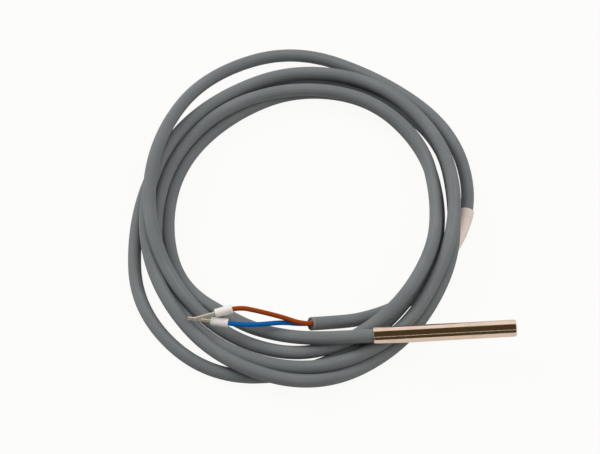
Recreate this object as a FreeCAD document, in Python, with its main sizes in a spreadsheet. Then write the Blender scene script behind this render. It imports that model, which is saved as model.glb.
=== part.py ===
"""Cable temperature probe: a closed steel sleeve on a coiled two-core cable with ferruled ends.

The origin is the centre of the sleeve's closed tip, +X points out of the tip along the sleeve's
axis, and +Z is up. The probe lies on its own coil of cable, as it would on a bench.
"""
import FreeCAD
import Part
import Sketcher
import math
import os
import re

Vector = FreeCAD.Vector
Placement = FreeCAD.Placement
Rotation = FreeCAD.Rotation

SIZES = [
    # name, millimetres, meaning
    ("cable_d", 4.8, "outer diameter of the cable's jacket"),
    ("core_d", 1.7, "outer diameter of one insulated core"),
    ("core_play", 0.04, "room round the two cores inside the jacket"),
    ("conductor_d", 0.94, "diameter of one bare stranded conductor"),
    ("conductor_play", 0.02, "room round a conductor in its insulation, splice or barrel"),
    ("sleeve_length", 50.0, "length of the steel sleeve"),
    ("sleeve_wall", 0.5, "wall of the steel sleeve"),
    ("entry_clearance", 0.1, "gap between the jacket and the sleeve's bore"),
    ("tip_wall", 0.6, "thickness of the closed tip"),
    ("tip_round", 0.6, "outer corner radius of the tip"),
    ("lip_length", 1.1, "length of the mouth that is rolled in"),
    ("lip_gap", 0.02, "gap between the rolled lip and the jacket"),
    ("lip_round", 0.2, "outer corner radius of the mouth"),
    ("cable_entry", 18.0, "length of jacketed cable inside the sleeve"),
    ("potting_start", 5.0, "distance from the mouth to the potting"),
    ("chip_length", 2.3, "length of the sensing chip"),
    ("chip_width", 2.0, "width of the sensing chip"),
    ("chip_thickness", 0.65, "thickness of the sensing chip"),
    ("chip_gap", 0.9, "distance from the chip to the tip's inner wall"),
    ("glaze_height", 0.5, "height of the glass drop over the lead ends"),
    ("glaze_length", 1.2, "length of the glass drop"),
    ("glaze_inset", 0.2, "distance from the chip's back edge to the glass drop"),
    ("glaze_width", 1.8, "width of the glass drop"),
    ("element_lead_d", 0.25, "diameter of the chip's lead wires"),
    ("element_lead_pitch", 1.0, "spacing of the lead wires on the chip"),
    ("element_lead_on_chip", 0.9, "length of lead wire that lies on the chip"),
    ("element_lead_free", 7.0, "lead wire between the chip and its splice"),
    ("element_lead_in_splice", 1.6, "lead wire gripped by its splice"),
    ("seat_gap", 0.03, "gap left where round pieces lie on each other"),
    ("splice_d", 1.4, "outer diameter of a crimp splice"),
    ("splice_length", 5.0, "length of a crimp splice"),
    ("conductor_in_splice", 3.0, "conductor gripped by its splice"),
    ("strip_gap", 0.4, "bare conductor between the insulation and the splice"),
    ("tubing_wall", 0.1, "wall of the insulating tubing over a splice"),
    ("tubing_overlap", 3.0, "tubing that reaches back over the core"),
    ("tubing_lead", 1.5, "tubing that reaches forward over the lead wire"),
    ("rest_gap", 0.6, "gap between the coil's top and the sleeve that lies on it"),
    ("lower_x", -21.6, "middle of the lower turns' outer edge, across"),
    ("lower_y", 58.2, "middle of the lower turns' outer edge, in depth"),
    ("lower_width", 126.8, "width over the lower turns"),
    ("lower_depth", 144.4, "depth over the lower turns"),
    ("lower_hole_x", -21.0, "middle of the hole in the lower turns, across"),
    ("lower_hole_y", 54.2, "middle of the hole in the lower turns, in depth"),
    ("lower_hole_width", 94.0, "width of the hole in the lower turns"),
    ("lower_hole_depth", 103.2, "depth of the hole in the lower turns"),
    ("upper_x", -21.5, "middle of the upper turns' outer edge, across"),
    ("upper_y", 54.2, "middle of the upper turns' outer edge, in depth"),
    ("upper_width", 118.8, "width over the upper turns"),
    ("upper_depth", 131.6, "depth over the upper turns"),
    ("upper_hole_x", -23.2, "middle of the hole in the upper turns, across"),
    ("upper_hole_y", 54.3, "middle of the hole in the upper turns, in depth"),
    ("upper_hole_width", 98.4, "width of the hole in the upper turns"),
    ("upper_hole_depth", 103.6, "depth of the hole in the upper turns"),
    ("label_length", 20.0, "length of the wrap label on the cable"),
    ("label_wall", 0.22, "thickness of the wrap label"),
    ("jacket_cut_depth", 3.5, "depth seen into the jacket at its cut end"),
    ("collar_d", 3.5, "diameter of a ferrule's collar at the wire side"),
    ("collar_nose_d", 2.9, "diameter of a collar where the barrel leaves it"),
    ("collar_length", 6.3, "length of a ferrule's collar"),
    ("collar_mouth", 2.4, "depth of a collar's wire opening"),
    ("collar_funnel", 0.7, "length of the funnel from the opening to the barrel's flare"),
    ("collar_play", 0.1, "gap between a core and its collar"),
    ("collar_round", 0.4, "edge radius of a collar at the wire side"),
    ("collar_nose_round", 0.6, "edge radius of a collar's nose"),
    ("barrel_wall", 0.16, "wall of a ferrule's metal barrel"),
    ("barrel_flare", 0.25, "extra radius of a barrel's flared end in its collar"),
    ("barrel_length", 8.0, "length of a barrel in front of its collar"),
    ("strand_end", 0.4, "length of copper that shows past a barrel"),
]

# Lengths that follow from the sizes above, measured from the sleeve's mouth or its axis.
BORE_R = "(cable_d / 2 + entry_clearance)"
SLEEVE_R = f"({BORE_R} + sleeve_wall)"
CORE_Y = "(core_d / 2 + tubing_wall + seat_gap)"
JACKET_BORE_R = f"({CORE_Y} + core_d / 2 + core_play)"
CONDUCTOR_HOLE_R = "(conductor_d / 2 + conductor_play)"
CHIP_BACK = "(sleeve_length - tip_wall - chip_gap - chip_length)"
SPLICE_FRONT = f"({CHIP_BACK} - element_lead_free)"
SPLICE_BACK = f"({SPLICE_FRONT} - splice_length)"
CHIP_TOP = "(element_lead_d / 2 + seat_gap)"
COIL_TOP = f"({SLEEVE_R} + rest_gap)"
LAYERS = 2
FLOOR = f"({COIL_TOP} + {LAYERS} * cable_d)"
BARREL_R = f"({CONDUCTOR_HOLE_R} + barrel_wall)"
# The coil's edge radius as a share of the cable, and an arc's tangent as a share of its run.
EDGE_SHARE = 0.48
ARC_SHARE = 0.45

# The cable's loose ends, as points from the sleeve's mouth. Height is from the sleeve's axis.
LEAD_ROUTE = [
    Vector(0.0, 0.0, 0.0),
    Vector(-10.0, 0.0, 0.0),
    Vector(-23.0, 2.2, -3.8),
    Vector(-35.0, 6.8, -8.0),
    Vector(-46.0, 12.6, -10.3),
    Vector(-55.0, 19.8, -10.7),
]
TAIL_ROUTE = [
    Vector(20.0, 22.0, -10.4),
    Vector(9.5, 14.9, -9.4),
    Vector(-3.0, 11.5, -10.0),
    Vector(-12.8, 10.7, -9.4),
    Vector(-21.2, 8.4, -4.9),
]
LABEL_MIDDLE = Vector(36.2, 43.8, -10.5)
LABEL_ALONG = Vector(-6.4, -19.0, 0.0)
# Each core: its side of the cable, the points between the jacket and the ferrule, and the
# ferrule's place and direction.
CORES = {
    "brown": {
        "side": 1,
        "points": [Vector(-31.0, 10.0, -1.6), Vector(-40.0, 11.8, 0.9)],
        "ferrule": Vector(-48.5, 12.8, 1.3),
        "along": Vector(-6.1, -1.35, -0.1),
    },
    "blue": {
        "side": -1,
        "points": [Vector(-31.0, 9.0, -3.6), Vector(-40.5, 8.0, -2.6)],
        "ferrule": Vector(-50.2, 8.7, -1.6),
        "along": Vector(-6.3, 1.2, 0.15),
    },
}
# The way from the blue core to the brown one in the cable's cut end.
CORE_STACK = Vector(0.0, -0.5, 0.87)
CUT_MARGIN = 1.0

doc = FreeCAD.newDocument("cable_temperature_probe")
sheet = doc.addObject("Spreadsheet::Sheet", "Sizes")
for row, (alias, size, meaning) in enumerate(SIZES, start=1):
    sheet.set(f"A{row}", meaning)
    sheet.set(f"B{row}", str(size))
    sheet.setAlias(f"B{row}", alias)
doc.recompute()

sub_parts = []


def bound(text):
    """The text with each size's name turned into a link to its cell."""
    return re.sub(r"[a-z][a-z_]*", lambda name: "Sizes." + name.group(), text)


def number(text):
    """What an expression of the sizes comes to, in millimetres."""
    return float(sheet.evalExpression(bound(text)))


def keep(piece, label):
    """Names a finished sub-part and lists it for the end."""
    piece.Label = label
    sub_parts.append(piece)
    return piece


def from_mouth(piece, x="0", y="0", z="0"):
    """Ties a piece's place to the sleeve's mouth."""
    piece.setExpression("Placement.Base.x", bound(f"{x} - sleeve_length"))
    piece.setExpression("Placement.Base.y", bound(y))
    piece.setExpression("Placement.Base.z", bound(z))
    return piece


def bar(name, radius, start, length, y="0"):
    """A round bar along the sleeve's axis that starts at a distance from the mouth."""
    piece = doc.addObject("Part::Cylinder", name)
    piece.setExpression("Radius", bound(radius))
    piece.setExpression("Height", bound(length))
    piece.Placement = Placement(Vector(), Rotation(Vector(0, 0, 1), Vector(1, 0, 0)))
    return from_mouth(piece, start, y)


def bar_along(name, radius, length, start, along):
    """A round bar from a point of the cable's route, given from the mouth, in any direction."""
    piece = doc.addObject("Part::Cylinder", name)
    piece.setExpression("Radius", bound(radius))
    piece.setExpression("Height", bound(length))
    place = start - Vector(number("sleeve_length"), 0, 0)
    piece.Placement = Placement(place, Rotation(Vector(0, 0, 1), along))
    return piece


def cut(name, base, tool):
    """One piece with another taken out of it."""
    piece = doc.addObject("Part::Cut", name)
    piece.Base = base
    piece.Tool = tool
    return piece


def fuse(name, pieces):
    """Several pieces joined into one."""
    piece = doc.addObject("Part::MultiFuse", name)
    piece.Shapes = pieces
    return piece


def new_sketch(body, name):
    """A sketch on the body's own XY plane."""
    sketch = body.newObject("Sketcher::SketchObject", name)
    plane = next(item for item in body.Origin.OriginFeatures if item.Role == "XY_Plane")
    sketch.AttachmentSupport = [(plane, "")]
    sketch.MapMode = "FlatFace"
    return sketch


def tie(sketch, name, constraint, text):
    """Adds a constraint under a name and binds its size."""
    index = sketch.addConstraint(constraint)
    sketch.renameConstraint(index, name)
    sketch.setExpression(f"Constraints.{name}", bound(text))


def turned(label, corners):
    """A body turned about its X axis from a closed outline of (distance, radius) corners."""
    body = doc.addObject("PartDesign::Body", f"{label}_body")
    sketch = new_sketch(body, f"{label}_outline")
    places = [Vector(number(x), number(radius), 0) for x, radius in corners]
    count = len(corners)
    for index in range(count):
        sketch.addGeometry(Part.LineSegment(places[index], places[(index + 1) % count]))
    for index in range(count):
        following = (index + 1) % count
        sketch.addConstraint(Sketcher.Constraint("Coincident", index, 2, following, 1))
    for index, (x, radius) in enumerate(corners):
        across = Sketcher.Constraint("DistanceX", -1, 1, index, 1, places[index].x)
        outward = Sketcher.Constraint("DistanceY", -1, 1, index, 1, places[index].y)
        tie(sketch, f"corner_{index}_along", across, x)
        tie(sketch, f"corner_{index}_radius", outward, radius)
    turn = body.newObject("PartDesign::Revolution", f"{label}_turned")
    turn.Profile = sketch
    turn.ReferenceAxis = (sketch, ["H_Axis"])
    turn.Angle = 360
    doc.recompute()
    return body, turn


def rim(shape, x, radius):
    """The name of the circular edge at a distance along X with a given radius."""
    for index, edge in enumerate(shape.Edges, start=1):
        circle = edge.Curve
        if not isinstance(circle, Part.Circle):
            continue
        if abs(circle.Center.x - x) < 1e-4 and abs(circle.Radius - radius) < 1e-4:
            return f"Edge{index}"
    raise RuntimeError(f"no rim of radius {radius} at {x}")


def rounded(body, feature, name, edges, radius):
    """Fillets the named edges of a body's last feature."""
    fillet = body.newObject("PartDesign::Fillet", name)
    fillet.Base = (feature, edges)
    fillet.setExpression("Radius", bound(radius))
    doc.recompute()
    return fillet


def oval(sketch, name, middle_x, middle_y, width, depth):
    """Two half circles joined by straight sides, held by their middle, width and depth."""
    middle = Vector(number(middle_x), number(middle_y), 0)
    radius = number(width) / 2
    shift = Vector(0, (number(depth) - number(width)) / 2, 0)
    side = Vector(radius, 0, 0)
    upright = Vector(0, 0, 1)
    far = Part.Circle(middle + shift, upright, radius)
    near = Part.Circle(middle - shift, upright, radius)
    outline = [
        Part.ArcOfCircle(far, 0, math.pi),
        Part.LineSegment(middle + shift - side, middle - shift - side),
        Part.ArcOfCircle(near, math.pi, 2 * math.pi),
        Part.LineSegment(middle - shift + side, middle + shift + side),
    ]
    curves = [sketch.addGeometry(curve) for curve in outline]
    for curve, following in zip(curves, curves[1:] + curves[:1]):
        sketch.addConstraint(Sketcher.Constraint("Tangent", curve, 2, following, 1))
    far_arc = curves[0]
    near_arc = curves[2]
    sketch.addConstraint(Sketcher.Constraint("Equal", far_arc, near_arc))
    radius_tie = Sketcher.Constraint("Radius", far_arc, radius)
    tie(sketch, f"{name}_radius", radius_tie, f"{width} / 2")
    for end, arc, sign in (("far", far_arc, "+"), ("near", near_arc, "-")):
        place = middle + shift if sign == "+" else middle - shift
        across = Sketcher.Constraint("DistanceX", -1, 1, arc, 3, place.x)
        deep = Sketcher.Constraint("DistanceY", -1, 1, arc, 3, place.y)
        tie(sketch, f"{name}_{end}_x", across, middle_x)
        tie(sketch, f"{name}_{end}_y", deep, f"{middle_y} {sign} ({depth} - {width}) / 2")


def layer_of_turns(name, height):
    """One layer of the coil's turns: an oval ring, as thick as the cable, with round edges."""
    body = doc.addObject("PartDesign::Body", f"{name}_turns")
    sketch = new_sketch(body, f"{name}_outline")
    oval(sketch, "edge", f"{name}_x", f"{name}_y", f"{name}_width", f"{name}_depth")
    hole = f"{name}_hole"
    oval(sketch, "hole", f"{hole}_x", f"{hole}_y", f"{hole}_width", f"{hole}_depth")
    pad = body.newObject("PartDesign::Pad", f"{name}_pad")
    pad.Profile = sketch
    pad.setExpression("Length", bound("cable_d"))
    doc.recompute()
    flat = [face for face in pad.Shape.Faces if isinstance(face.Surface, Part.Plane)]
    rings = []
    for index, edge in enumerate(pad.Shape.Edges, start=1):
        if any(edge.isSame(other) for face in flat for other in face.Edges):
            rings.append(f"Edge{index}")
    rounded(body, pad, f"{name}_rounding", rings, f"cable_d * {EDGE_SHARE}")
    return from_mouth(body, z=height)


def route_wire(points):
    """Straight runs joined by tangent arcs, each arc as large as its two runs allow."""
    edges = []
    radii = []
    start = points[0]
    for before, corner, after in zip(points, points[1:], points[2:]):
        arrive = corner - before
        leave = after - corner
        turn = arrive.getAngle(leave)
        reach = ARC_SHARE * min(arrive.Length, leave.Length)
        radius = reach / math.tan(turn / 2)
        arrive.normalize()
        leave.normalize()
        inward = (leave - arrive).normalize()
        first = corner - arrive * reach
        last = corner + leave * reach
        middle = corner + inward * (radius / math.cos(turn / 2) - radius)
        edges.append(Part.LineSegment(start, first).toShape())
        edges.append(Part.Arc(first, middle, last).toShape())
        radii.append(round(radius, 1))
        start = last
    edges.append(Part.LineSegment(start, points[-1]).toShape())
    return Part.Wire(edges), radii


def tube(name, points, diameter):
    """A solid cord along a route whose points are measured from the sleeve's mouth."""
    wire, radii = route_wire(points)
    radius = number(diameter) / 2
    circle = Part.makeCircle(radius, points[0], points[1] - points[0])
    shape = wire.makePipeShell([Part.Wire(circle)], True, False)
    expected = math.pi * radius**2 * wire.Length
    if abs(shape.Volume - expected) > 0.005 * expected:
        raise RuntimeError(f"{name} has {shape.Volume:.1f} mm3 instead of {expected:.1f}")
    piece = doc.addObject("Part::Feature", name)
    piece.Shape = shape
    piece.Placement = Placement(Vector(-number("sleeve_length"), 0, 0), Rotation())
    print(f"{name}: {wire.Length:.1f} mm long, radii {radii}")
    return piece


def make_sleeve():
    """The deep-drawn steel sleeve: closed tip, plain bore, mouth rolled in on the jacket."""
    lip_bore = "(cable_d / 2 + lip_gap)"
    lip_r = f"({lip_bore} + sleeve_wall)"
    inner_end = "sleeve_length - tip_wall"
    corners = [
        ("0", lip_bore),
        ("0", lip_r),
        ("lip_length", SLEEVE_R),
        ("sleeve_length", SLEEVE_R),
        ("sleeve_length", "0"),
        (inner_end, "0"),
        (inner_end, BORE_R),
        ("lip_length", BORE_R),
    ]
    body, turn = turned("sleeve", corners)
    tip_edge = rim(turn.Shape, number("sleeve_length"), number(SLEEVE_R))
    tip = rounded(body, turn, "tip_rounding", [tip_edge], "tip_round")
    mouth_edge = rim(tip.Shape, 0, number(lip_r))
    rounded(body, tip, "mouth_rounding", [mouth_edge], "lip_round")
    keep(from_mouth(body), "probe_sleeve")


def make_jacket_entry():
    """The cable's jacket where it stands in the sleeve."""
    outer = bar("entry_outer", "cable_d / 2", "0", "cable_entry")
    inner = bar("entry_bore", JACKET_BORE_R, "0", "cable_entry")
    keep(cut("entry", outer, inner), "jacket_entry")
    return outer


def make_chip():
    """The ceramic chip with its sensing film, flat under the lead wires."""
    chip = doc.addObject("Part::Box", "chip")
    chip.setExpression("Length", bound("chip_length"))
    chip.setExpression("Width", bound("chip_width"))
    chip.setExpression("Height", bound("chip_thickness"))
    from_mouth(chip, CHIP_BACK, "-chip_width / 2", f"-{CHIP_TOP} - chip_thickness")
    return keep(chip, "sensor_chip")


def make_element_lead(colour, side):
    """One fine wire from the chip, spread to the pitch of the cores, into its splice."""
    pitch = side * number("element_lead_pitch") / 2
    core_y = side * number(CORE_Y)
    back = number(SPLICE_FRONT) - number("element_lead_in_splice")
    spread_back = number(SPLICE_FRONT) + number("tubing_lead")
    chip_back = number(CHIP_BACK)
    points = [
        Vector(back, core_y, 0),
        Vector(spread_back, core_y, 0),
        Vector(chip_back - number("element_lead_on_chip"), pitch, 0),
        Vector(chip_back + number("element_lead_on_chip"), pitch, 0),
    ]
    return keep(tube(f"wire_{colour}", points, "element_lead_d"), f"element_lead_{colour}")


def make_glaze(wires):
    """The glass drop that holds the lead wires on the chip."""
    dome = doc.addObject("Part::Ellipsoid", "glaze_dome")
    dome.setExpression("Radius1", bound("glaze_height"))
    dome.setExpression("Radius2", bound("glaze_length / 2"))
    dome.setExpression("Radius3", bound("glaze_width / 2"))
    dome.Angle1 = 0
    from_mouth(dome, f"{CHIP_BACK} + glaze_inset + glaze_length / 2", z=f"-{CHIP_TOP}")
    keep(cut("glaze", dome, fuse("glaze_wires", wires)), "chip_glaze")
    return dome


def make_sensor_core(colour, side):
    """A core's insulation, conductor, splice and tubing inside the sleeve."""
    y = f"{side} * {CORE_Y}"
    core_length = f"({SPLICE_BACK} - strip_gap)"
    insulation = bar(f"{colour}_insulation", "core_d / 2", "0", core_length, y)
    hole = bar(f"{colour}_core_hole", CONDUCTOR_HOLE_R, "0", core_length, y)
    keep(cut(f"{colour}_core", insulation, hole), f"sensor_core_{colour}")

    conductor_length = f"{SPLICE_BACK} + conductor_in_splice"
    conductor = bar(f"{colour}_conductor", "conductor_d / 2", "0", conductor_length, y)
    keep(conductor, f"sensor_conductor_{colour}")

    blank = bar(f"{colour}_splice_blank", "splice_d / 2", SPLICE_BACK, "splice_length", y)
    holes = [
        bar(f"{colour}_splice_hole", CONDUCTOR_HOLE_R, SPLICE_BACK, "conductor_in_splice", y),
        bar(
            f"{colour}_lead_hole",
            "element_lead_d / 2 + seat_gap",
            f"{SPLICE_FRONT} - element_lead_in_splice",
            "element_lead_in_splice",
            y,
        ),
    ]
    keep(cut(f"{colour}_splice", blank, fuse(f"{colour}_splice_holes", holes)), f"splice_{colour}")

    start = f"({SPLICE_BACK} - strip_gap - tubing_overlap)"
    length = "splice_length + strip_gap + tubing_overlap + tubing_lead"
    outside = bar(f"{colour}_tubing_outer", "core_d / 2 + tubing_wall", start, length, y)
    inside = bar(f"{colour}_tubing_inner", "core_d / 2", start, length, y)
    keep(cut(f"{colour}_tubing", outside, inside), f"splice_tubing_{colour}")
    return [insulation, outside]


def make_potting(filled):
    """The resin that fills the sleeve round everything in it."""
    length = "sleeve_length - tip_wall - potting_start"
    fill = bar("potting_fill", BORE_R, "potting_start", length)
    between = doc.addObject("Part::Box", "between_cores")
    between.setExpression("Length", bound(f"{SPLICE_FRONT} + tubing_lead - cable_entry"))
    between.setExpression("Width", bound(f"2 * {CORE_Y}"))
    between.setExpression("Height", bound("core_d / 2"))
    from_mouth(between, "cable_entry", f"-{CORE_Y}", "-core_d / 4")
    keep(cut("potting_cut", fill, fuse("potting_contents", filled + [between])), "potting")


def make_probe():
    """The sleeve and everything inside it."""
    make_sleeve()
    filled = [make_jacket_entry(), make_chip()]
    wires = []
    for colour, core in CORES.items():
        filled += make_sensor_core(colour, core["side"])
        wires.append(make_element_lead(colour, core["side"]))
    dome = make_glaze(wires)
    make_potting(filled + wires + [dome])


def make_ferrule(colour, start, along):
    """A wire ferrule: plastic collar, metal barrel and the copper that it grips."""
    place = Placement(start - Vector(number("sleeve_length"), 0, 0), Rotation(Vector(1, 0, 0), along))
    wire_hole = "(core_d / 2 + collar_play)"
    flare_back = "(collar_mouth + collar_funnel)"
    flare_r = f"({BARREL_R} + barrel_flare)"
    flare_hole_r = f"({CONDUCTOR_HOLE_R} + barrel_flare)"
    barrel_end = "(collar_length + barrel_length)"
    collar_corners = [
        ("0", wire_hole),
        ("0", "collar_d / 2"),
        ("collar_length", "collar_nose_d / 2"),
        ("collar_length", BARREL_R),
        (flare_back, flare_r),
        ("collar_mouth", wire_hole),
    ]
    collar, turn = turned(f"{colour}_collar", collar_corners)
    wire_edge = rim(turn.Shape, 0, number("collar_d / 2"))
    wire_side = rounded(collar, turn, f"{colour}_collar_rounding", [wire_edge], "collar_round")
    nose_edge = rim(wire_side.Shape, number("collar_length"), number("collar_nose_d / 2"))
    rounded(collar, wire_side, f"{colour}_nose_rounding", [nose_edge], "collar_nose_round")
    collar.Placement = place
    keep(collar, f"collar_{colour}")

    barrel_corners = [
        (flare_back, flare_hole_r),
        (flare_back, flare_r),
        ("collar_length", BARREL_R),
        (barrel_end, BARREL_R),
        (barrel_end, CONDUCTOR_HOLE_R),
        ("collar_length", CONDUCTOR_HOLE_R),
    ]
    barrel, _ = turned(f"{colour}_barrel", barrel_corners)
    barrel.Placement = place
    keep(barrel, f"barrel_{colour}")

    copper_start = start + along * number("collar_mouth")
    copper_length = f"{barrel_end} + strand_end - collar_mouth"
    copper = bar_along(f"{colour}_copper", "conductor_d / 2", copper_length, copper_start, along)
    keep(copper, f"strands_{colour}")


def make_cable():
    """The cable's two loose ends, its coil, its label and its ferruled cores."""
    lead = keep(tube("lead", LEAD_ROUTE, "cable_d"), "cable_lead")

    rod = tube("tail_rod", TAIL_ROUTE, "cable_d")
    end = TAIL_ROUTE[-1]
    outward = (end - TAIL_ROUTE[-2]).normalize()
    depth = number("jacket_cut_depth")
    mouth_length = f"jacket_cut_depth + {CUT_MARGIN}"
    seat = end - outward * depth
    mouth = bar_along("tail_mouth", JACKET_BORE_R, mouth_length, seat, outward)
    keep(cut("tail", rod, mouth), "cable_tail")

    stack = (CORE_STACK - outward * CORE_STACK.dot(outward)).normalize()
    for colour, core in CORES.items():
        offset = stack * (core["side"] * number(CORE_Y))
        along = Vector(core["along"]).normalize()
        route = [seat + offset, end + outward * depth + offset]
        route += core["points"]
        route.append(core["ferrule"] - along * number("collar_mouth"))
        route.append(core["ferrule"] + along * number("collar_mouth"))
        keep(tube(f"{colour}_free_core", route, "core_d"), f"core_{colour}")
        make_ferrule(colour, core["ferrule"], along)

    label_start = LABEL_MIDDLE - Vector(LABEL_ALONG).normalize() * (number("label_length") / 2)
    wrap_r = "(cable_d / 2 + seat_gap + label_wall)"
    wrap = bar_along("label_wrap", wrap_r, "label_length", label_start, LABEL_ALONG)
    room = bar_along("label_hole", "cable_d / 2 + seat_gap", "label_length", label_start, LABEL_ALONG)
    keep(cut("label", wrap, room), "cable_label")

    strand_start = label_start - Vector(LABEL_ALONG).normalize() * CUT_MARGIN
    strand_length = f"label_length + 2 * {CUT_MARGIN}"
    strand = bar_along("label_strand", "cable_d / 2", strand_length, strand_start, LABEL_ALONG)
    turns = [
        layer_of_turns("lower", f"-{FLOOR}"),
        layer_of_turns("upper", f"-{COIL_TOP} - cable_d"),
    ]
    bundle = fuse("coil_layers", turns + [strand])
    label_room = cut("label_room", wrap, strand)
    coil_room = fuse("coil_room", [lead, rod, label_room])
    keep(cut("coil", bundle, coil_room), "cable_coil")


make_probe()
make_cable()
doc.recompute()

for item in doc.Objects:
    if "Invalid" in item.State or "Error" in item.State:
        raise RuntimeError(f"{item.Name} failed: {item.State}")
for piece in sub_parts:
    if piece.Shape.isNull() or not piece.Shape.isValid():
        raise RuntimeError(f"{piece.Label} has no valid shape")
    if len(piece.Shape.Solids) != 1:
        raise RuntimeError(f"{piece.Label} has {len(piece.Shape.Solids)} solids")

os.makedirs("parts", exist_ok=True)
for piece in sub_parts:
    piece.Shape.exportStep(f"parts/{piece.Label}.step")
    print(f"{piece.Label}: {piece.Shape.Volume:.2f} mm3")
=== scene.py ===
# %% [markdown]
# # A cable temperature probe
# The object is a closed steel sleeve on a long grey cable. The sleeve holds a sensing chip, and
# the cable lies in five loose turns with the sleeve resting on them. The cable's free end shows a
# brown and a blue core, each in a wire ferrule. The solids come first, because every other piece
# has to sit where they say.

# %% Load the solids
import math

import bpy
import bmesh
from mathutils import Matrix, Vector


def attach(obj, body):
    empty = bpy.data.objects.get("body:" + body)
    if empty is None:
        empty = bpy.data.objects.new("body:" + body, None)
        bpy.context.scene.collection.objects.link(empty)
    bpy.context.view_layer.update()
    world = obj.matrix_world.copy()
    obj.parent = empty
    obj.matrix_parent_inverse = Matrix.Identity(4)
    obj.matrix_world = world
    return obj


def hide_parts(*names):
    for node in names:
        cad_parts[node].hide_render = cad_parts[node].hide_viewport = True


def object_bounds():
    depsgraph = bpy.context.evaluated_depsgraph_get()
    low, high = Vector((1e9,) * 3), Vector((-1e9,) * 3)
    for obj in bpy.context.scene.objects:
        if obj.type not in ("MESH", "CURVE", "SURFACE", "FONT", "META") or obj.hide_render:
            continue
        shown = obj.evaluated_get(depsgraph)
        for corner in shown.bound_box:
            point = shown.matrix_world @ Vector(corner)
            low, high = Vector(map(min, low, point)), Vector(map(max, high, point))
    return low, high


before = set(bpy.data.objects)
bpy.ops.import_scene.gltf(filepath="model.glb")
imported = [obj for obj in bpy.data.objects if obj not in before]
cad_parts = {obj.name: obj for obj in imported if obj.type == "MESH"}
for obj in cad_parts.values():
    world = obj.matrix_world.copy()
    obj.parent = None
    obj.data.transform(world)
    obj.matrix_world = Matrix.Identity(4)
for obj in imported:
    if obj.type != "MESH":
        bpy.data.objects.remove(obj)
cad_box = [list(corner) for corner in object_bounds()]
MM = 0.001
print(len(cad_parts), "solids in the box", cad_box)

# %% [markdown]
# ## Where the photographer stood
# A long lens looks down at about sixty degrees, almost square to the sleeve. A camera can be
# turned by angles, but three axes are clearer: one to the right, one up the picture and one back
# towards the lens. They are the columns of the camera's matrix.

# %% Camera
ELEVATION = math.radians(60.0)
YAW = math.radians(3.46)
LENS_MM = 100.0
CAMERA_PLACE = Vector((-90.9, -255.1, 521.0)) * MM

right = Vector((math.cos(YAW), -math.sin(YAW), 0))
back = Vector((math.sin(YAW), math.cos(YAW), 0))
upright = Vector((0, 0, 1))
picture_up = math.sin(ELEVATION) * back + math.cos(ELEVATION) * upright
towards_lens = right.cross(picture_up)

scene = bpy.context.scene
camera = bpy.data.objects.new("camera", bpy.data.cameras.new("camera"))
camera.data.lens = LENS_MM
turn = Matrix((right, picture_up, towards_lens)).transposed().to_4x4()
camera.matrix_world = Matrix.Translation(CAMERA_PLACE) @ turn
scene.collection.objects.link(camera)
scene.camera = camera
scene.view_settings.view_transform = "Standard"
print("camera at", tuple(round(value, 3) for value in CAMERA_PLACE))

# %% [markdown]
# ## A way to write nodes
# Node trees are easier to read as sums than as lists of links. One class holds a socket and turns
# sums into Math nodes. Another holds a tree and adds every other node through one method, for
# shaders and for Geometry Nodes alike.


# %% Sockets and trees
class Socket:
    """A node's output that can be used in sums."""

    def __init__(self, graph, socket):
        self.graph = graph
        self.socket = socket

    def math_node(self, operation, first, second):
        return self.graph.node("ShaderNodeMath", {"operation": operation}, {0: first, 1: second})

    def __add__(self, other):
        return self.math_node("ADD", self, other)

    def __sub__(self, other):
        return self.math_node("SUBTRACT", self, other)

    def __rsub__(self, other):
        return self.math_node("SUBTRACT", other, self)

    def __mul__(self, other):
        return self.math_node("MULTIPLY", self, other)

    def __truediv__(self, other):
        return self.math_node("DIVIDE", self, other)

    def __pow__(self, other):
        return self.math_node("POWER", self, other)

    __radd__ = __add__
    __rmul__ = __mul__


class Graph:
    """A node tree that grows by one method."""

    def __init__(self, tree):
        self.tree = tree

    def node(self, kind, settings=None, sockets=None, out=0):
        """Adds a node, sets its settings, fills its sockets and gives one output or several."""
        node = self.tree.nodes.new(kind)
        for name, value in (settings or {}).items():
            if name == "captures":
                for label, data in value.items():
                    node.capture_items.new(data, label)
            else:
                setattr(node, name, value)
        for name, value in (sockets or {}).items():
            if isinstance(value, Socket):
                self.tree.links.new(value.socket, node.inputs[name])
            else:
                node.inputs[name].default_value = value
        if isinstance(out, tuple):
            return [Socket(self, node.outputs[name]) for name in out]
        return Socket(self, node.outputs[out]) if node.outputs else None


def emptied(owner):
    """The tree of a material or world, with nothing in it."""
    owner.use_nodes = True
    owner.node_tree.nodes.clear()
    return owner.node_tree


print("node helpers ready")

# %% [markdown]
# ## Floor and light
# The probe was photographed on a white table. A plain white surface would turn grey wherever little
# light falls on it. So the floor glows white to rays from the lens, and in part to rays off shiny
# things, which the Light Path node tells apart. A small share stays matt and takes a soft shadow.

# %% Floor
FLOOR_Z = cad_box[0][2]
FLOOR_HALF = 3.0
FLOOR_WHITE = (1.0, 0.998, 0.985, 1.0)
FLOOR_MATT = (0.55, 0.52, 0.49, 1.0)
# Share of the floor's look that takes shadow, and share of its white that reflections see.
SHADOW_SHARE = 0.06
GLOSS_SHARE = 0.6


def new_mesh_object(name, vertices, faces, material):
    mesh = bpy.data.meshes.new(name)
    mesh.from_pydata(vertices, [], faces)
    mesh.materials.append(material)
    mesh.update()
    thing = bpy.data.objects.new(name, mesh)
    scene.collection.objects.link(thing)
    return thing


def seen_rays(graph, gloss=1.0):
    """One for rays from the lens or through clear things, and a share for rays off shiny ones."""
    kinds = ("Is Camera Ray", "Is Glossy Ray", "Is Transmission Ray")
    lens, glossy, through = graph.node("ShaderNodeLightPath", out=kinds)
    return 1 - (1 - lens) * (1 - gloss * glossy) * (1 - through)


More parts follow.
